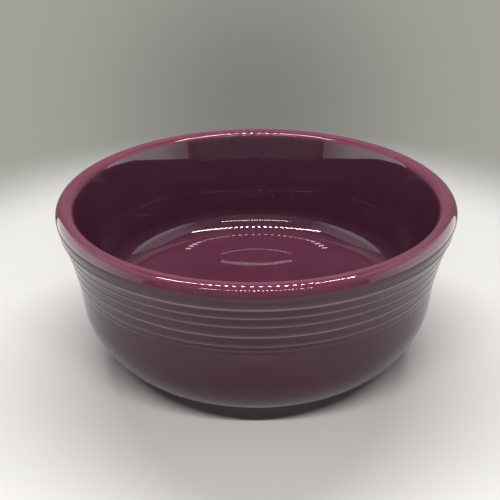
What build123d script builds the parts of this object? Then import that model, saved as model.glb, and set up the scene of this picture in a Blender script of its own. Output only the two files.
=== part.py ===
"""Ringed ceramic bowl: a fired clay body under one continuous coat of glossy glaze.

The bowl is turned about Z.  The table is the plane z = 0 and the lip's crest is the highest
circle.  Each section below is drawn in the XZ half plane, x being the radius, in millimetres.
"""
from build123d import *
import os
from math import cos, radians, sin, sqrt

# overall
RIM_DIAMETER = 146.4
HEIGHT = 66.1
GLAZE = 0.4

# lip: a half round, thicker than the wall it finishes
LIP_RADIUS = 3.35
LIP_CENTRE_R = RIM_DIAMETER / 2 - LIP_RADIUS
LIP_CENTRE_Z = HEIGHT - LIP_RADIUS

# turned rings: the crest circle of each one as (radius, height), from the lip down
RING_CRESTS = [
    (72.3, 57.85),
    (70.75, 53.9),
    (69.65, 50.1),
    (68.7, 45.85),
    (67.85, 41.85),
    (67.3, 39.45),
]
# how far each cove starts outside its crest, which keeps every crest about 14 degrees out
COVE_LEAD = [0.0, 0.12, 0.06, 0.0, 0.0, 0.03]
COVE_LENGTH = 1.1
STEP_DEPTH = 0.2
STEP_DROP = 0.25

# belly: a straight, slightly tapered stretch that runs into one large shoulder arc
BELLY_CENTRE_R = 36.8
BELLY_CENTRE_Z = 32.05
BELLY_RADIUS = 29.5
BELLY_TAPER = 6.75

# foot ring, with a deep well inside it
FOOT_OUTER_R = 42.0
FOOT_INNER_R = 37.5
FOOT_FILLET = 1.0
WELL_TOP_R = 36.0
WELL_TOP_Z = 14.5
WELL_CORNER = 5.0
GLAZE_LINE = 1.5

# inside: a flat floor, a slow rise, a tight corner and a wall that flares out to the lip
FLOOR_Z = 21.2
FLOOR_FLAT_R = 39.6
RISE_RADIUS = 54.0
RISE_ANGLE = 14.2
CORNER_RADIUS = 10.75
CORNER_ANGLE = 86.2
FLARE_ANGLE = 75.0
FLARE_START_PULL = 6.3
FLARE_END_PULL = 15.7


def lip_start(inset):
    """Where the flared wall runs into the lip's round."""
    radius = LIP_RADIUS - inset
    flare = radians(FLARE_ANGLE)
    return (
        LIP_CENTRE_R - radius * sin(flare),
        LIP_CENTRE_Z + radius * cos(flare),
    )


def inner_profile(inset):
    """Edges from the centre of the inside floor out and up to the inner side of the lip."""
    rise = radians(RISE_ANGLE)
    steep = radians(CORNER_ANGLE)
    rise_r = RISE_RADIUS + inset
    corner_r = CORNER_RADIUS + inset
    floor_z = FLOOR_Z - inset
    flat_end = (FLOOR_FLAT_R, floor_z)
    rise_mid = (
        FLOOR_FLAT_R + rise_r * sin(rise / 2),
        floor_z + rise_r * (1 - cos(rise / 2)),
    )
    rise_end = (
        FLOOR_FLAT_R + rise_r * sin(rise),
        floor_z + rise_r * (1 - cos(rise)),
    )
    corner_centre = (
        rise_end[0] - corner_r * sin(rise),
        rise_end[1] + corner_r * cos(rise),
    )
    half = (rise + steep) / 2
    corner_mid = (
        corner_centre[0] + corner_r * sin(half),
        corner_centre[1] - corner_r * cos(half),
    )
    corner_end = (
        corner_centre[0] + corner_r * sin(steep),
        corner_centre[1] - corner_r * cos(steep),
    )
    wall_pull = (
        corner_end[0] + FLARE_START_PULL * cos(steep),
        corner_end[1] + FLARE_START_PULL * sin(steep),
    )
    lip_inner = lip_start(inset)
    lip_pull = (
        lip_inner[0] - FLARE_END_PULL * cos(radians(FLARE_ANGLE)),
        lip_inner[1] - FLARE_END_PULL * sin(radians(FLARE_ANGLE)),
    )
    return [
        Line((0, floor_z), flat_end),
        ThreePointArc(flat_end, rise_mid, rise_end),
        ThreePointArc(rise_end, corner_mid, corner_end),
        Bezier(corner_end, wall_pull, lip_pull, lip_inner),
    ]


def lip_profile(inset):
    """The round over the top of the lip, from its inner side to its outer side."""
    radius = LIP_RADIUS - inset
    return [
        ThreePointArc(
            lip_start(inset),
            (LIP_CENTRE_R, LIP_CENTRE_Z + radius),
            (LIP_CENTRE_R + radius, LIP_CENTRE_Z),
        )
    ]


def ring_profile(inset):
    """The band under the lip and the turned rings: each cove runs out to a crest and steps back."""
    edges = []
    start = (LIP_CENTRE_R + LIP_RADIUS - inset, LIP_CENTRE_Z)
    for index, (crest_r, crest_z) in enumerate(RING_CRESTS):
        crest = (crest_r - inset, crest_z)
        cove = (crest[0] + COVE_LEAD[index], crest_z + COVE_LENGTH)
        step = (crest[0] - STEP_DEPTH, crest_z - STEP_DROP)
        if index == 0:
            run = Bezier(start, (start[0], start[1] - 1.3), (cove[0] + 0.3, cove[1] + 1.3), cove)
        else:
            run = Line(start, cove)
        edges.append(run)
        edges.append(TangentArc(cove, crest, tangent=run % 1))
        edges.append(Line(crest, step))
        start = step
    return edges


def belly_profile(inset):
    """From the lowest ring down the tapered stretch and round the shoulder to the foot ring."""
    radius = BELLY_RADIUS - inset
    taper = radians(BELLY_TAPER)
    last_r, last_z = RING_CRESTS[-1]
    top = (last_r - inset - STEP_DEPTH, last_z - STEP_DROP)
    shoulder = (
        BELLY_CENTRE_R + radius * cos(taper),
        BELLY_CENTRE_Z - radius * sin(taper),
    )
    foot_r = FOOT_OUTER_R - inset
    foot_top = (
        foot_r,
        BELLY_CENTRE_Z - sqrt(radius**2 - (foot_r - BELLY_CENTRE_R) ** 2),
    )
    mid_angle = radians(50)
    mid = (
        BELLY_CENTRE_R + radius * cos(mid_angle),
        BELLY_CENTRE_Z - radius * sin(mid_angle),
    )
    return [
        Line(top, shoulder),
        ThreePointArc(shoulder, mid, foot_top),
        Line(foot_top, (foot_r, 0)),
    ]


def well_profile(inset):
    """Across the foot ring's contact face, up inside it and in under the floor to the centre."""
    corner = WELL_CORNER + inset
    top_z = WELL_TOP_Z + inset
    foot_in = (FOOT_INNER_R + inset, 0)
    side_top = (WELL_TOP_R + inset, top_z - corner)
    arc_end = (side_top[0] - corner, top_z)
    bend = radians(45)
    arc_mid = (arc_end[0] + corner * sin(bend), side_top[1] + corner * cos(bend))
    return [
        Line((FOOT_OUTER_R - inset, 0), foot_in),
        Line(foot_in, side_top),
        ThreePointArc(side_top, arc_mid, arc_end),
        Line(arc_end, (0, top_z)),
    ]


def section(inset):
    """The bowl's half section with every glazed surface moved into the clay by inset."""
    edges = inner_profile(inset) + lip_profile(inset) + ring_profile(inset)
    edges += belly_profile(inset) + well_profile(inset)
    edges.append(Line((0, WELL_TOP_Z + inset), (0, FLOOR_Z - inset)))
    face = make_face(edges)
    foot_joint = face.vertices().filter_by_position(Axis.X, FOOT_OUTER_R - 1, FOOT_OUTER_R + 0.01)
    foot_joint = foot_joint.sort_by(Axis.Y)[-1]
    return fillet(foot_joint, FOOT_FILLET + inset)


def turned(face):
    """Revolve a half section, drawn flat with y as the height, about the Z axis."""
    return revolve(Plane.XZ * face, Axis.Z, 360)


glazed = section(0)
clay = section(GLAZE)
above_line = Pos(0, GLAZE_LINE) * Rectangle(
    RIM_DIAMETER, HEIGHT, align=(Align.MIN, Align.MIN)
)
coats = ((glazed - clay) & above_line).faces().sort_by(Axis.X)

bodies = {
    "clay_body": turned(clay),
    "glaze_coat": turned(coats[-1]),
    "foot_well_glaze": turned(coats[0]),
}

os.makedirs("parts", exist_ok=True)
for name, solid in bodies.items():
    export_step(solid, f"parts/{name}.step")
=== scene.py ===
"""Looks for the ringed ceramic bowl: glaze, bare clay foot, and a photo tent round them.

Sizes are in millimetres until mesh_of() turns a section about Z; everything in Blender is in metres.
"""

import math

import bpy
from mathutils import Matrix, Vector, noise


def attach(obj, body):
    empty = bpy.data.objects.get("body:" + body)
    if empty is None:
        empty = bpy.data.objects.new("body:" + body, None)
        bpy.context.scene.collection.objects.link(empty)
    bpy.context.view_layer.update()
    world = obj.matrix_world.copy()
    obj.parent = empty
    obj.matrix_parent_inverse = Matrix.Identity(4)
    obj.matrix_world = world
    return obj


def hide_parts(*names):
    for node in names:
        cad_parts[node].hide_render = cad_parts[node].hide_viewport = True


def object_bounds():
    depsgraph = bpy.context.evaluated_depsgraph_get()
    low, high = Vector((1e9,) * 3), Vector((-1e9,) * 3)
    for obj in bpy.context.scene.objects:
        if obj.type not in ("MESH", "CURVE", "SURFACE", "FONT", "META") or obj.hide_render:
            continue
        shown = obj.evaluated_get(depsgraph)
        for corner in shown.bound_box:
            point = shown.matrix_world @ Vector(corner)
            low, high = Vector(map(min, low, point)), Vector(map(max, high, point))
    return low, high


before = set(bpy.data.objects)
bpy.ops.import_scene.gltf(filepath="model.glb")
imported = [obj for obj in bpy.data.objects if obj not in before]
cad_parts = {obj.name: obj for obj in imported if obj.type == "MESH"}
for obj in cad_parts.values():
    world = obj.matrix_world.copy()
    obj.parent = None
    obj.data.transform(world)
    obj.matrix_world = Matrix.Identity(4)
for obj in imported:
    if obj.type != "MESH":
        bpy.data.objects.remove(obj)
cad_low, cad_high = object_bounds()

MM = 0.001
RIM_R = cad_high.x / MM
HEIGHT = 66.1
GLAZE = 0.4

# ---------------------------------------------------------------- section of the bowl
LIP_R = 3.35
LIP_CENTRE = (RIM_R - LIP_R, HEIGHT - LIP_R)
# the crest of each ring as (radius, height), from the lip down
RING_CRESTS = [
    (72.3, 57.85),
    (70.75, 53.9),
    (69.65, 50.1),
    (68.7, 45.85),
    (67.85, 41.85),
    (67.3, 39.45),
]
COVE_LEAD = [0.0, 0.12, 0.06, 0.0, 0.0, 0.03]
COVE = 1.1
STEP_IN, STEP_DOWN = 0.2, 0.25
BELLY_CENTRE = (36.8, 32.05)
BELLY_R = 29.5
BELLY_TAPER = math.radians(6.75)
FOOT_OUT, FOOT_IN = 42.0, 37.5
WELL_TOP_R, WELL_TOP_Z, WELL_CORNER = 36.0, 14.5, 5.0
GLAZE_LINE = 1.5
FLOOR_Z, FLOOR_FLAT_R = 21.2, 39.6
RISE_R, RISE_END = 54.0, math.radians(14.2)
CORNER_R, CORNER_END = 10.75, math.radians(86.2)
FLARE = math.radians(75)
FLARE_START_PULL, FLARE_END_PULL = 6.3, 15.7
BAND_PULL = 1.3
COVE_LEAN = 0.3
BELLY_END = 0.4
FOOT_SHOULDER = 0.5
EDGE_START = 0.45

SEGMENTS = 240
WAVE = 0.006
WAVE_LONG, WAVE_SHORT, WAVE_SHORT_SHARE = 17.0, 6.0, 0.35
WAVE_SHIFT = Vector((3.1, 7.7, 1.3))
AXIS = 1e-6


def line(a, b, step):
    """Points from a to b, without b."""
    n = max(1, round(math.dist(a, b) / step))
    return [(a[0] + (b[0] - a[0]) * i / n, a[1] + (b[1] - a[1]) * i / n) for i in range(n)]


def arc(centre, radius, start, end, step):
    """Points round centre from angle start to end, without the last. Angle 0 is +r, 90 is +z."""
    n = max(2, round(abs(end - start) * radius / step))
    return [
        (
            centre[0] + radius * math.cos(start + (end - start) * i / n),
            centre[1] + radius * math.sin(start + (end - start) * i / n),
        )
        for i in range(n)
    ]


def bezier(a, b, c, d, step):
    """Points on a cubic curve, without its last."""
    n = max(2, round(math.dist(a, d) / step))
    made = []
    for i in range(n):
        t = i / n
        u = 1 - t
        made.append(
            tuple(
                u**3 * a[k] + 3 * u * u * t * b[k] + 3 * u * t * t * c[k] + t**3 * d[k]
                for k in (0, 1)
            )
        )
    return made


def tangent_arc(a, towards, b, step):
    """Points on the arc that leaves a in the direction towards and ends at b, without b."""
    length = math.hypot(*towards)
    t = (towards[0] / length, towards[1] / length)
    n = (-t[1], t[0])
    d = (b[0] - a[0], b[1] - a[1])
    across = d[0] * n[0] + d[1] * n[1]
    radius = (d[0] ** 2 + d[1] ** 2) / (2 * across)
    centre = (a[0] + n[0] * radius, a[1] + n[1] * radius)
    start = math.atan2(a[1] - centre[1], a[0] - centre[0])
    end = math.atan2(b[1] - centre[1], b[0] - centre[0])
    while end - start > math.pi:
        end -= 2 * math.pi
    while start - end > math.pi:
        end += 2 * math.pi
    return arc(centre, abs(radius), start, end, step)


def inside():
    """From the middle of the inside floor to the inner side of the lip."""
    made = line((0, FLOOR_Z), (FLOOR_FLAT_R, FLOOR_Z), 2.2)
    rise_centre = (FLOOR_FLAT_R, FLOOR_Z + RISE_R)
    quarter = math.pi / 2
    made += arc(rise_centre, RISE_R, -quarter, RISE_END - quarter, 0.9)
    end = (
        rise_centre[0] + RISE_R * math.sin(RISE_END),
        rise_centre[1] - RISE_R * math.cos(RISE_END),
    )
    corner = (
        end[0] - CORNER_R * math.sin(RISE_END),
        end[1] + CORNER_R * math.cos(RISE_END),
    )
    made += arc(corner, CORNER_R, RISE_END - quarter, CORNER_END - quarter, 0.4)
    end = (
        corner[0] + CORNER_R * math.sin(CORNER_END),
        corner[1] - CORNER_R * math.cos(CORNER_END),
    )
    lip = (LIP_CENTRE[0] - LIP_R * math.sin(FLARE), LIP_CENTRE[1] + LIP_R * math.cos(FLARE))
    pull = (
        end[0] + FLARE_START_PULL * math.cos(CORNER_END),
        end[1] + FLARE_START_PULL * math.sin(CORNER_END),
    )
    lip_pull = (
        lip[0] - FLARE_END_PULL * math.cos(FLARE),
        lip[1] - FLARE_END_PULL * math.sin(FLARE),
    )
    made += bezier(end, pull, lip_pull, lip, 1.0)
    return made


def outside():
    """Over the lip, down the rings and the belly to the foot ring's side."""
    made = arc(LIP_CENTRE, LIP_R, math.pi / 2 + FLARE, 0, 0.3)
    at = (LIP_CENTRE[0] + LIP_R, LIP_CENTRE[1])
    for index, crest in enumerate(RING_CRESTS):
        cove = (crest[0] + COVE_LEAD[index], crest[1] + COVE)
        if index == 0:
            pull = (cove[0] + COVE_LEAN, cove[1] + BAND_PULL)
            made += bezier(at, (at[0], at[1] - BAND_PULL), pull, cove, 0.35)
            towards = (cove[0] - pull[0], cove[1] - pull[1])
        else:
            made += line(at, cove, 0.3)
            towards = (cove[0] - at[0], cove[1] - at[1])
        made += tangent_arc(cove, towards, crest, 0.12)
        at = (crest[0] - STEP_IN, crest[1] - STEP_DOWN)
        made += line(crest, at, 0.1)
    shoulder = (
        BELLY_CENTRE[0] + BELLY_R * math.cos(BELLY_TAPER),
        BELLY_CENTRE[1] - BELLY_R * math.sin(BELLY_TAPER),
    )
    made += line(at, shoulder, 0.9)
    reach = FOOT_OUT + BELLY_END - BELLY_CENTRE[0]
    made += arc(BELLY_CENTRE, BELLY_R, -BELLY_TAPER, -math.acos(reach / BELLY_R), 0.8)
    foot_top = BELLY_CENTRE[1] - math.sqrt(BELLY_R**2 - (FOOT_OUT - BELLY_CENTRE[0]) ** 2)
    made += [(FOOT_OUT, foot_top - FOOT_SHOULDER), (FOOT_OUT, GLAZE_LINE + EDGE_START)]
    return made


def blurred(values, points, width):
    """Values given along a line, each averaged with its neighbours over a length of width."""
    run = [0.0]
    for a, b in zip(points, points[1:]):
        run.append(run[-1] + math.dist(a, b))
    made = []
    for i, here in enumerate(run):
        total = 0.0
        mean = [0.0] * len(values[0])
        for j, value in enumerate(values):
            gap = abs(run[j] - here)
            if gap < 3 * width:
                left = run[max(j - 1, 0)]
                right = run[min(j + 1, len(run) - 1)]
                w = math.exp(-((gap / width) ** 2) / 2) * (right - left)
                total += w
                mean = [m + w * v for m, v in zip(mean, value)]
        made.append(tuple(m / total for m in mean))
    return made


def eased(points, width):
    """The same line with its corners rounded, as melted glaze rounds them."""
    made = blurred(points, points, width)
    made[0], made[-1] = points[0], points[-1]
    return made


def normals(points):
    """Unit normals on the left of the line, which is out of the glaze on the sections below."""
    made = []
    for i in range(len(points)):
        a = points[max(i - 1, 0)]
        b = points[min(i + 1, len(points) - 1)]
        d = (b[0] - a[0], b[1] - a[1])
        length = math.hypot(*d)
        made.append((-d[1] / length, d[0] / length))
    return made


INSET_EASE = 0.8
INSET_STRIDE = 4


def inset(points, depth):
    """The line moved depth to its right, keeping one point in INSET_STRIDE and the last."""
    soft = eased(points, INSET_EASE)
    n = normals(soft)
    keep = [i for i in range(len(points)) if i % INSET_STRIDE == 0 or i == len(points) - 1]
    made = []
    for i in keep:
        made.append((max(0.0, soft[i][0] - n[i][0] * depth), soft[i][1] - n[i][1] * depth))
    made[0] = (0.0, made[0][1])
    return made


def mesh_of(name, section, relief, tone, wave, shape, drift=()):
    """A closed solid: section, from the axis back to the axis, turned about Z.

    relief and tone are stored on the mesh for the glaze's material. wave is how far each point
    may stray along its drift, and shape moves each point once it is turned.
    """
    ring_start, verts, value, colour = [], [], [], []
    for k, (r, z) in enumerate(section):
        ring_start.append(len(verts))
        if r < AXIS:
            verts.append((0.0, 0.0, z * MM))
            value.append(relief[k])
            colour.extend((*tone[k], 1.0))
            continue
        for s in range(SEGMENTS):
            a = 2 * math.pi * s / SEGMENTS
            rr, zz = shape(k, r, z, a)
            if wave[k]:
                p = Vector((rr * math.cos(a), rr * math.sin(a), zz))
                push = wave[k] * noise.noise(p / WAVE_LONG + WAVE_SHIFT)
                push += WAVE_SHORT_SHARE * wave[k] * noise.noise(p / WAVE_SHORT)
                rr += push * drift[k][0]
                zz += push * drift[k][1]
            verts.append((rr * MM * math.cos(a), rr * MM * math.sin(a), zz * MM))
            value.append(relief[k])
            colour.extend((*tone[k], 1.0))
    faces = []
    for k in range(len(section) - 1):
        low_pole = section[k][0] < AXIS
        high_pole = section[k + 1][0] < AXIS
        for s in range(SEGMENTS):
            t = (s + 1) % SEGMENTS
            a, b = ring_start[k], ring_start[k + 1]
            if low_pole:
                faces.append((a, b + t, b + s))
            elif high_pole:
                faces.append((a + s, a + t, b))
            else:
                faces.append((a + s, a + t, b + t, b + s))
    data = bpy.data.meshes.new(name)
    data.from_pydata(verts, [], faces)
    data.attributes.new("relief", "FLOAT", "POINT").data.foreach_set("value", value)
    data.attributes.new("tone", "FLOAT_COLOR", "POINT").data.foreach_set("color", colour)
    data.shade_smooth()
    data.validate()
    made = bpy.data.objects.new(name, data)
    bpy.context.scene.collection.objects.link(made)
    return made


# how strongly each ring and its painted highlight show, from the lip down: the lowest ones are faint
RING_STRENGTH = [1.0, 1.0, 0.9, 0.9, 0.5, 0.2]
THIN_AND_GLINT_REACH = 2.1
RELIEF_EASE, RELIEF_FULL = 0.9, 0.09
TONE_EASE = 0.35
LINE_EASE = 0.16


def ring_strength_at(z):
    """How strongly the ring nearest to height z shows."""
    nearest = min(range(len(RING_CRESTS)), key=lambda i: abs(RING_CRESTS[i][1] - z))
    return RING_STRENGTH[nearest]


def thin_glaze_and_glint_at(z):
    """How far the glaze has run thin at height z, which also carries a painted highlight for each
    crest: most on a crest, less above it.
    """
    thin_and_glint = 0.0
    for (_, crest), ring_strength in zip(RING_CRESTS, RING_STRENGTH):
        rise = (z - crest) / THIN_AND_GLINT_REACH
        if -0.1 <= rise < 1.0:
            thin_and_glint = max(thin_and_glint, ring_strength * (1.0 - max(rise, 0.0)) ** 2)
    return thin_and_glint


def relief_of(points):
    """How far each point stands above its neighbourhood: 1 on a crest, -1 in a cove."""
    wide = eased(points, RELIEF_EASE)
    n = normals(wide)
    made = []
    for p, w, m in zip(points, wide, n):
        stands = ((p[0] - w[0]) * m[0] + (p[1] - w[1]) * m[1]) / RELIEF_FULL
        below_lip = min(1.0, max(0.0, LIP_CENTRE[1] - 2.0 - p[1]))
        outer = 1.0 if p[0] > BELLY_CENTRE[0] + BELLY_R * 0.98 else 0.0
        if stands > 0.0:
            stands *= ring_strength_at(p[1])
        made.append(max(-1.0, min(1.0, stands)) * below_lip * outer)
    return made


# colour of the glaze: one plum painted lighter or darker by zone for how light falls; thin red glaze
# with painted light over the lip, painted light on the inside floor, painted shade on the inner
# wall, the ringed band and the outside
LIP_THIN_AND_LIT_TONE = (0.17, 0.036, 0.072)
FLOOR_LIT_TONE = (0.098, 0.025, 0.048)
WALL_TOP_SHADED_TONE = (0.073, 0.022, 0.042)
OUTSIDE_SHADED_TONE = (0.073, 0.019, 0.039)
RING_BAND_SHADED_TONE = (0.080, 0.026, 0.046)
# lighter on and just above each crest: thin glaze breaking over the edge, with a painted highlight
# for the lamps' glint on it
THIN_GLAZE_AND_GLINT_TONE = (0.145, 0.078, 0.100)
CREST_THIN_AND_GLINT_TONE = (0.36, 0.24, 0.27)
# darker in the coves below each crest: pooled glaze, with painted shade
COVE_POOL_AND_SHADE_TONE = (0.028, 0.006, 0.013)
CLAY_TONES = ((0.56, 0.50, 0.41), (0.74, 0.69, 0.60))


def tone_of(points):
    """The glaze's colour at each point of the whole coat, with painted light and shade by zone and a
    painted highlight at each crest.
    """
    top = max(range(len(points)), key=lambda i: points[i][1])
    made = []
    for i, (r, z) in enumerate(points):
        # inside: painted light on the floor, painted shade on the wall above it; then painted light
        # over the lip
        if i < top and z < LIP_CENTRE[1] + 0.9:
            made.append(FLOOR_LIT_TONE if z < FLOOR_Z + 3.5 else WALL_TOP_SHADED_TONE)
        elif z > LIP_CENTRE[1] - 0.3:
            made.append(LIP_THIN_AND_LIT_TONE)
        else:
            # outside: painted shade, lighter on and above each crest as thin glaze with a painted
            # highlight
            thin_and_glint = thin_glaze_and_glint_at(z)
            ground = RING_BAND_SHADED_TONE if z > RING_CRESTS[3][1] - 2.0 else OUTSIDE_SHADED_TONE
            made.append(tuple(g + thin_and_glint * (t - g) for g, t in zip(ground, THIN_GLAZE_AND_GLINT_TONE)))
    return blurred(made, points, TONE_EASE)


def edge_wander(a):
    """How far the glaze stops above or below its line at angle a, as a wiped edge does."""
    here = Vector((math.cos(a), math.sin(a), 0.0))
    return 0.22 * noise.noise(here * 4.0) + 0.12 * noise.noise(here * 15.0)


def coat(name, outer, bead_side, tone):
    """A glaze coat over outer, which runs from the axis to its lowest edge at the foot."""
    last_r = outer[-1][0]
    bead = [
        (last_r - bead_side * 0.04, GLAZE_LINE + 0.25),
        (last_r - bead_side * 0.14, GLAZE_LINE + 0.1),
        (last_r - bead_side * 0.28, GLAZE_LINE + 0.02),
        (last_r - bead_side * GLAZE, GLAZE_LINE),
    ]
    under = inset(outer, GLAZE)[::-1]
    section = outer + bead + under
    relief = relief_of(outer) + [0.3] * len(bead) + [0.0] * len(under)
    tone = tone + [OUTSIDE_SHADED_TONE] * (len(bead) + len(under))
    drift = normals(outer) + [(0, 0)] * (len(bead) + len(under))
    wave = []
    for r, z in outer:
        near_edge = min(1.0, max(0.0, (z - 2.5) / 3.0))
        near_axis = min(1.0, r / 3.0)
        wave.append(WAVE * near_edge * near_axis)
    wave += [0.0] * (len(bead) + len(under))
    count = len(outer)

    def shape(k, r, z, a):
        if k < count + len(bead) + 2 and z < 4.0:
            z += edge_wander(a) * max(0.0, 1 - (z - GLAZE_LINE) / 2.5)
        return r, z

    return mesh_of(name, section, relief, tone, wave, shape, drift)


body_line = eased(inside() + outside(), LINE_EASE)
well_line = (
    line((0, WELL_TOP_Z), (WELL_TOP_R - WELL_CORNER, WELL_TOP_Z), 2.5)
    + arc((WELL_TOP_R - WELL_CORNER, WELL_TOP_Z - WELL_CORNER), WELL_CORNER, math.pi / 2, 0, 0.5)
    + [(WELL_TOP_R, WELL_TOP_Z - WELL_CORNER)]
)
slope = (FOOT_IN - WELL_TOP_R) / (WELL_TOP_Z - WELL_CORNER)
for z in (7.5, 5.5, 3.5, 2.6, GLAZE_LINE + EDGE_START):
    well_line.append((WELL_TOP_R + slope * (WELL_TOP_Z - WELL_CORNER - z), z))

glaze = coat("glaze", body_line, 1, tone_of(body_line))
well_glaze = coat("well_glaze", well_line, -1, [OUTSIDE_SHADED_TONE] * len(well_line))


def turned_clay():
    """The clay under both coats, with its bare foot ring sponged round at both edges."""
    top = inset(body_line, GLAZE)
    under = inset(well_line, GLAZE)
    side_out, side_in = FOOT_OUT - GLAZE, FOOT_IN + GLAZE
    foot = [(side_out, 1.5), (side_out, 1.0), (side_out - 0.04, 0.6)]
    foot += arc((side_out - 0.6, 0.6), 0.6, 0, -math.pi / 2, 0.12)[1:]
    foot += line((side_out - 0.6, 0), (side_in + 0.6, 0), 0.35)
    foot += arc((side_in + 0.6, 0.6), 0.6, -math.pi / 2, -math.pi, 0.12)
    foot += [(side_in, 0.7), (side_in, 1.1), (side_in - 0.02, 1.5)]
    section = top[:-1] + foot + under[::-1][1:]
    first = len(top) - 1
    last = first + len(foot)

    def shape(k, r, z, a):
        if first <= k < last and 0 < k:
            p = Vector((r * math.cos(a), r * math.sin(a), z))
            grit = 0.03 * noise.noise(p / 0.9) + 0.04 * noise.noise(p / 3.5)
            if z < 0.02:
                return r, max(0.0, grit * 0.4)
            return r + grit, max(0.0, z)
        return r, z

    level = [0.0] * len(section)
    return mesh_of("clay", section, level, [OUTSIDE_SHADED_TONE] * len(section), level, shape)


clay = turned_clay()


# ---------------------------------------------------------------- materials
def material(name):
    """A new node material: (material, its node tree, a function that adds a node)."""
    made = bpy.data.materials.new(name)
    made.use_nodes = True
    tree = made.node_tree
    tree.nodes.clear()

    def add(kind, **given):
        node = tree.nodes.new(kind)
        for key, value in given.items():
            if key in node.inputs:
                node.inputs[key].default_value = value
            else:
                setattr(node, key, value)
        return node

    return made, tree, add


def remap(tree, source, span, onto=(0.0, 1.0), smooth=False):
    """The output of a Map Range node that takes source from span to onto."""
    node = tree.nodes.new("ShaderNodeMapRange")
    if smooth:
        node.interpolation_type = "SMOOTHSTEP"
    for key, value in zip(("From Min", "From Max", "To Min", "To Max"), (*span, *onto)):
        node.inputs[key].default_value = value
    tree.links.new(source, node.inputs["Value"])
    return node.outputs["Result"]


def glaze_material():
    """Plum glaze: the mesh's tone with its painted light and shade, plus grain, thin glaze with a
    painted highlight on the crests, and pooled glaze with painted shade in the coves.
    """
    made, tree, add = material("plum_glaze")
    link = tree.links.new
    where = add("ShaderNodeTexCoord").outputs["Object"]
    relief = add("ShaderNodeAttribute", attribute_name="relief").outputs["Fac"]

    tone = add("ShaderNodeAttribute", attribute_name="tone").outputs["Color"]
    cloud = add("ShaderNodeTexNoise", Scale=38.0, Detail=3.0, Roughness=0.55)
    link(where, cloud.inputs["Vector"])
    cloudy = remap(tree, cloud.outputs["Fac"], (0.3, 0.7), (0.93, 1.07))
    fleck = add("ShaderNodeTexNoise", Scale=900.0, Detail=2.0)
    link(where, fleck.inputs["Vector"])
    flecked = remap(tree, fleck.outputs["Fac"], (0.35, 0.65), (0.94, 1.06))
    shade = add("ShaderNodeMath", operation="MULTIPLY")
    link(cloudy, shade.inputs[0])
    link(flecked, shade.inputs[1])
    grained = add("ShaderNodeVectorMath", operation="SCALE")
    link(tone, grained.inputs[0])
    link(shade.outputs["Value"], grained.inputs["Scale"])

    # crests lighter: thin glaze, with a painted highlight for the lamps' glint
    crest = remap(tree, relief, (0.25, 0.95), (0.0, 0.8))
    crest_thin_and_glint = add("ShaderNodeMix", data_type="RGBA")
    crest_thin_and_glint.inputs["B"].default_value = (*CREST_THIN_AND_GLINT_TONE, 1)
    link(crest, crest_thin_and_glint.inputs["Factor"])
    link(grained.outputs["Vector"], crest_thin_and_glint.inputs["A"])
    # coves darker: pooled glaze, with painted shade
    cove_pool_and_shade = remap(tree, relief, (-1.0, -0.1), (0.3, 0.0))
    cove_darkened = add("ShaderNodeMix", data_type="RGBA")
    cove_darkened.inputs["B"].default_value = (*COVE_POOL_AND_SHADE_TONE, 1)
    link(cove_pool_and_shade, cove_darkened.inputs["Factor"])
    link(crest_thin_and_glint.outputs["Result"], cove_darkened.inputs["A"])

    smear = add("ShaderNodeTexNoise", Scale=60.0, Detail=2.0)
    link(where, smear.inputs["Vector"])
    rough = remap(tree, smear.outputs["Fac"], (0.0, 1.0), (0.015, 0.03))
    scuff = remap(tree, relief, (0.15, 0.9), (0.0, 0.22))
    worn_rough = add("ShaderNodeMath", operation="ADD")
    link(rough, worn_rough.inputs[0])
    link(scuff, worn_rough.inputs[1])

    peel = add("ShaderNodeTexNoise", Scale=210.0, Detail=1.0)
    link(where, peel.inputs["Vector"])
    bump = add("ShaderNodeBump", Strength=0.25, Distance=0.00001)
    link(peel.outputs["Fac"], bump.inputs["Height"])

    shader = add("ShaderNodeBsdfPrincipled", IOR=1.47)
    link(cove_darkened.outputs["Result"], shader.inputs["Base Color"])
    link(worn_rough.outputs["Value"], shader.inputs["Roughness"])
    link(bump.outputs["Normal"], shader.inputs["Normal"])
    out = add("ShaderNodeOutputMaterial")
    link(shader.outputs["BSDF"], out.inputs["Surface"])
    return made


def clay_material():
    """Bare fired clay, pale and gritty."""
    made, tree, add = material("bare_clay")
    link = tree.links.new
    where = add("ShaderNodeTexCoord").outputs["Object"]
    grain = add("ShaderNodeTexNoise", Scale=1500.0, Detail=3.0)
    link(where, grain.inputs["Vector"])
    tone = add("ShaderNodeValToRGB")
    for stop, place, colour in zip(tone.color_ramp.elements, (0.35, 0.65), CLAY_TONES):
        stop.position = place
        stop.color = (*colour, 1)
    link(grain.outputs["Fac"], tone.inputs["Fac"])
    bump = add("ShaderNodeBump", Strength=0.6, Distance=0.0001)
    link(grain.outputs["Fac"], bump.inputs["Height"])
    shader = add("ShaderNodeBsdfPrincipled", Roughness=0.85)
    link(tone.outputs["Color"], shader.inputs["Base Color"])
    link(bump.outputs["Normal"], shader.inputs["Normal"])
    out = add("ShaderNodeOutputMaterial")
    link(shader.outputs["BSDF"], out.inputs["Surface"])
    return made


plum = glaze_material()
glaze.data.materials.append(plum)
well_glaze.data.materials.append(plum)
clay.data.materials.append(clay_material())

for piece, node, slot in (
    (glaze, "glaze_coat", "glaze"),
    (well_glaze, "foot_well_glaze", "glaze"),
    (clay, "clay_body", "clay"),
):
    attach(piece, "root")
    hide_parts(node)


# ---------------------------------------------------------------- floor, tent and lamps
# All of this is staging fitted to the photo's view, and isn't a physical set-up: the cloth, the
# LED discs and the wall patches are seen in reflections only, and the visible floor by the
# camera only.
FILL_Y = 0.08
TENT_X, TENT_BACK, TENT_FRONT, TENT_Z = 0.205, 0.173, -0.32, 0.372
FLOOR_FRONT = -0.15
SIDE_FRONT = -0.21
CLOTH = {"tent_back": 0.4, "floor_in_reflections": 0.8}
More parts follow.
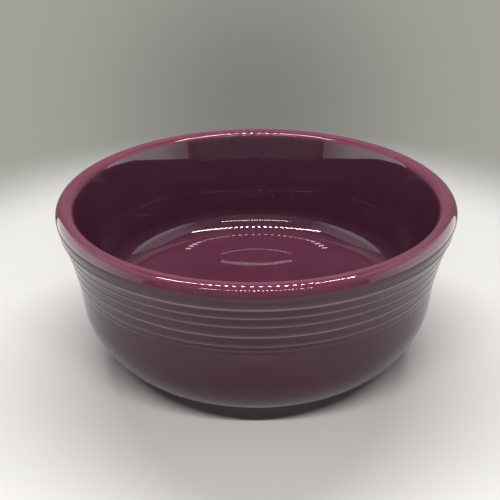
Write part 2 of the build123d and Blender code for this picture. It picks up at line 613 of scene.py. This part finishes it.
# light that comes through the tent's cloth
GLOW = {"side_front": 0.1, "side_back": 0.12, "back": 0.0, "top_front": 0.05, "top_back": 0.05}
# the room's brightness for reflections, and for all other light but the camera's own view
ROOM_GLOW = 0.34
ROOM_FILL = 0.06
REFLECTION_DROP = -0.0005


def sheet(name, corners, faces=((0, 1, 2, 3),), hidden_from=()):
    """A flat mesh with a material of its own: (object, material, node tree, add)."""
    data = bpy.data.meshes.new(name)
    data.from_pydata(corners, [], list(faces))
    made = bpy.data.objects.new(name, data)
    bpy.context.scene.collection.objects.link(made)
    mat, tree, add = material(name)
    data.materials.append(mat)
    for kind in hidden_from:
        setattr(made, f"visible_{kind}", False)
    return made, mat, tree, add


ALL_BUT_REFLECTIONS = ("camera", "diffuse", "transmission", "shadow")


def cloth(name, corners, glow):
    """Cloth of the tent, lit by the lamps and faintly by the room behind it."""
    made, _, tree, add = sheet(name, corners, hidden_from=("camera", "shadow"))
    weave = add("ShaderNodeBsdfDiffuse")
    white = CLOTH.get(name, 0.22)
    weave.inputs["Color"].default_value = (white, white, white, 1)
    light = add("ShaderNodeEmission")
    light.inputs["Strength"].default_value = glow
    both = add("ShaderNodeAddShader")
    tree.links.new(weave.outputs["BSDF"], both.inputs[0])
    tree.links.new(light.outputs["Emission"], both.inputs[1])
    out = add("ShaderNodeOutputMaterial")
    tree.links.new(both.outputs["Shader"], out.inputs["Surface"])
    made.visible_diffuse = name == "floor_in_reflections"


TENT_MID = -0.07
for part, near, far in (("front", TENT_FRONT, TENT_MID), ("back", TENT_MID, TENT_BACK)):
    start = max(near, SIDE_FRONT)
    for side, x in (("left", -TENT_X), ("right", TENT_X)):
        cloth(
            f"tent_{side}_{part}",
            [(x, start, 0), (x, far, 0), (x, far, TENT_Z), (x, start, TENT_Z)],
            GLOW[f"side_{part}"],
        )
    cloth(
        f"tent_top_{part}",
        [
            (-TENT_X, near, TENT_Z),
            (TENT_X, near, TENT_Z),
            (TENT_X, far, TENT_Z),
            (-TENT_X, far, TENT_Z),
        ],
        GLOW[f"top_{part}"],
    )
cloth(
    "tent_back",
    [
        (-TENT_X, TENT_BACK, 0),
        (TENT_X, TENT_BACK, 0),
        (TENT_X, TENT_BACK, TENT_Z),
        (-TENT_X, TENT_BACK, TENT_Z),
    ],
    GLOW["back"],
)
cloth(
    "floor_in_reflections",
    [
        (-0.5, FLOOR_FRONT, REFLECTION_DROP),
        (0.5, FLOOR_FRONT, REFLECTION_DROP),
        (0.5, TENT_BACK, REFLECTION_DROP),
        (-0.5, TENT_BACK, REFLECTION_DROP),
    ],
    0.0,
)


def lamp_row(name, y, watts):
    """The light that one row throws on the bowl and the paper; reflections don't see it."""
    data = bpy.data.lights.new(name, "AREA")
    data.shape = "RECTANGLE"
    data.size = 2 * LED_HALF_ROW
    data.size_y = 0.006
    data.energy = watts
    lamp = bpy.data.objects.new(name, data)
    lamp.location = (0, y, LED_Z)
    lamp.visible_camera = False
    lamp.visible_glossy = False
    bpy.context.scene.collection.objects.link(lamp)


def led_dots(name, y, half_width, half_length, strength):
    """A row of LEDs as the glaze mirrors it: one small bright disc each, which lights nothing."""
    corners, faces = [], []
    for i in range(LED_COUNT):
        x = LED_HALF_ROW * (2 * i / (LED_COUNT - 1) - 1)
        first = len(corners)
        for k in range(16):
            a = math.pi * k / 8
            corners.append((x + half_width * math.cos(a), y + half_length * math.sin(a), LED_Z))
        faces.append(tuple(range(first, first + 16)))
    made, mat, tree, add = sheet(name, corners, faces, ALL_BUT_REFLECTIONS)
    light = add("ShaderNodeEmission")
    light.inputs["Color"].default_value = (1.0, 0.97, 0.9, 1)
    light.inputs["Strength"].default_value = strength
    out = add("ShaderNodeOutputMaterial")
    tree.links.new(light.outputs["Emission"], out.inputs["Surface"])
    mat.cycles.emission_sampling = "NONE"


LED_COUNT, LED_HALF_ROW, LED_Z = 28, 0.188, 0.366
FRONT_ROW_Y, BACK_MIRRORED_Y = -0.315, -0.033
# the back row's light comes from FILL_Y, further back than where the glaze mirrors it
lamp_row("front_row", FRONT_ROW_Y, 1.5)
lamp_row("back_row", FILL_Y, 1.25)
led_dots("front_dots", FRONT_ROW_Y, 0.0022, 0.014, 110.0)
led_dots("back_dots", BACK_MIRRORED_Y, 0.0025, 0.017, 130.0)


WALL_FRONT, WALL_BACK, WALL_TOP = -0.16, 0.14, 0.36
WALL_FRONT_GLOW = 1.2


def wall_patch(name, x):
    """A glow on the side of the tent, brighter to the back and dimmer higher up.

    It reaches nearly to the top of the tent and is seen in reflections only.
    """
    corners = [
        (x, WALL_FRONT, 0),
        (x, WALL_BACK, 0),
        (x, WALL_BACK, WALL_TOP),
        (x, WALL_FRONT, WALL_TOP),
    ]
    made, mat, tree, add = sheet(name, corners, hidden_from=ALL_BUT_REFLECTIONS)
    split = add("ShaderNodeSeparateXYZ")
    tree.links.new(add("ShaderNodeTexCoord").outputs["Object"], split.inputs[0])
    along = remap(
        tree, split.outputs["Y"], (WALL_FRONT, -0.03), (WALL_FRONT_GLOW, WALL_GLOW), smooth=True
    )
    high = remap(tree, split.outputs["Z"], (0.12, 0.2), (1.0, 0.4), smooth=True)
    both = add("ShaderNodeMath", operation="MULTIPLY")
    tree.links.new(along, both.inputs[0])
    tree.links.new(high, both.inputs[1])
    light = add("ShaderNodeEmission")
    tree.links.new(both.outputs["Value"], light.inputs["Strength"])
    out = add("ShaderNodeOutputMaterial")
    tree.links.new(light.outputs["Emission"], out.inputs["Surface"])
    mat.cycles.emission_sampling = "NONE"


WALL_GLOW = 2.8
wall_patch("wall_patch_left", -TENT_X + 0.002)
wall_patch("wall_patch_right", TENT_X - 0.002)

# floor: a pale sheet that only the camera sees, fading round the bowl into the grey of the room
FLOOR_REACH = 1.6
FLOOR_FADE = (0.165, 0.26)
PAPER = (0.9, 0.885, 0.845)
floor_corners = [
    (-FLOOR_REACH, -FLOOR_REACH, 0),
    (FLOOR_REACH, -FLOOR_REACH, 0),
    (FLOOR_REACH, FLOOR_REACH, 0),
    (-FLOOR_REACH, FLOOR_REACH, 0),
]
floor, _, tree, add = sheet(
    "floor", floor_corners, hidden_from=("diffuse", "glossy", "transmission", "shadow")
)
length = add("ShaderNodeVectorMath", operation="LENGTH")
tree.links.new(add("ShaderNodeTexCoord").outputs["Object"], length.inputs[0])
fade = remap(tree, length.outputs["Value"], FLOOR_FADE, smooth=True)
paper = add("ShaderNodeBsdfDiffuse", Color=(*PAPER, 1))
clear = add("ShaderNodeBsdfTransparent")
mix = add("ShaderNodeMixShader")
tree.links.new(fade, mix.inputs["Fac"])
tree.links.new(paper.outputs["BSDF"], mix.inputs[1])
tree.links.new(clear.outputs["BSDF"], mix.inputs[2])
out = add("ShaderNodeOutputMaterial")
tree.links.new(mix.outputs["Shader"], out.inputs["Surface"])

# room: the camera sees a grey with one darker patch in a fixed direction, a painted shadow of the
# bowl on the backdrop placed for the photo's view; reflections and all other light see a plain grey
# each
SHADOW_PATCH_DIRECTION = (0, 0.951, -0.309)
SHADOW_PATCH_REACH = 0.26
SHADOW_PATCH_GREY, ROOM_GREY = (0.21, 0.205, 0.19), (0.36, 0.355, 0.32)
world = bpy.data.worlds.new("room")
bpy.context.scene.world = world
world.use_nodes = True
tree = world.node_tree
tree.nodes.clear()
seen = tree.nodes.new("ShaderNodeBackground")
toward = tree.nodes.new("ShaderNodeTexCoord")
off = tree.nodes.new("ShaderNodeVectorMath")
off.operation = "DISTANCE"
off.inputs[1].default_value = SHADOW_PATCH_DIRECTION
tree.links.new(toward.outputs["Generated"], off.inputs[0])
spread = remap(tree, off.outputs["Value"], (0.0, SHADOW_PATCH_REACH), smooth=True)
shade = tree.nodes.new("ShaderNodeMix")
shade.data_type = "RGBA"
shade.inputs["A"].default_value = (*SHADOW_PATCH_GREY, 1)
shade.inputs["B"].default_value = (*ROOM_GREY, 1)
tree.links.new(spread, shade.inputs["Factor"])
tree.links.new(shade.outputs["Result"], seen.inputs["Color"])
in_reflections = tree.nodes.new("ShaderNodeBackground")
in_reflections.inputs["Color"].default_value = (ROOM_GLOW, ROOM_GLOW, ROOM_GLOW, 1)
path = tree.nodes.new("ShaderNodeLightPath")
mix = tree.nodes.new("ShaderNodeMixShader")
out = tree.nodes.new("ShaderNodeOutputWorld")
fill = tree.nodes.new("ShaderNodeBackground")
fill.inputs["Color"].default_value = (ROOM_FILL, ROOM_FILL, ROOM_FILL, 1)
mirrored = tree.nodes.new("ShaderNodeMixShader")
tree.links.new(path.outputs["Is Glossy Ray"], mirrored.inputs["Fac"])
tree.links.new(fill.outputs["Background"], mirrored.inputs[1])
tree.links.new(in_reflections.outputs["Background"], mirrored.inputs[2])
tree.links.new(path.outputs["Is Camera Ray"], mix.inputs["Fac"])
tree.links.new(mirrored.outputs["Shader"], mix.inputs[1])
tree.links.new(seen.outputs["Background"], mix.inputs[2])
tree.links.new(mix.outputs["Shader"], out.inputs["Surface"])

# ---------------------------------------------------------------- camera
PITCH, YAW, ROLL = math.radians(26.67), math.radians(-0.435), math.radians(0.486)
LENS = 66.6
CAMERA_AT = (0.0, -0.3143, 0.2001)
ahead = Vector(
    (math.cos(PITCH) * math.sin(YAW), math.cos(PITCH) * math.cos(YAW), -math.sin(PITCH))
)
level = Vector((math.cos(YAW), -math.sin(YAW), 0))
lift = level.cross(ahead)
right = math.cos(ROLL) * level - math.sin(ROLL) * lift
up = math.sin(ROLL) * level + math.cos(ROLL) * lift
camera = bpy.data.objects.new("camera", bpy.data.cameras.new("camera"))
bpy.context.scene.collection.objects.link(camera)
camera.data.lens = LENS
camera.data.sensor_width = 36.0
turn = Matrix((right, up, -ahead)).transposed().to_4x4()
camera.matrix_world = Matrix.Translation(CAMERA_AT) @ turn
camera.data.clip_start = 0.01
bpy.context.scene.camera = camera
bpy.context.scene.view_settings.view_transform = "Standard"
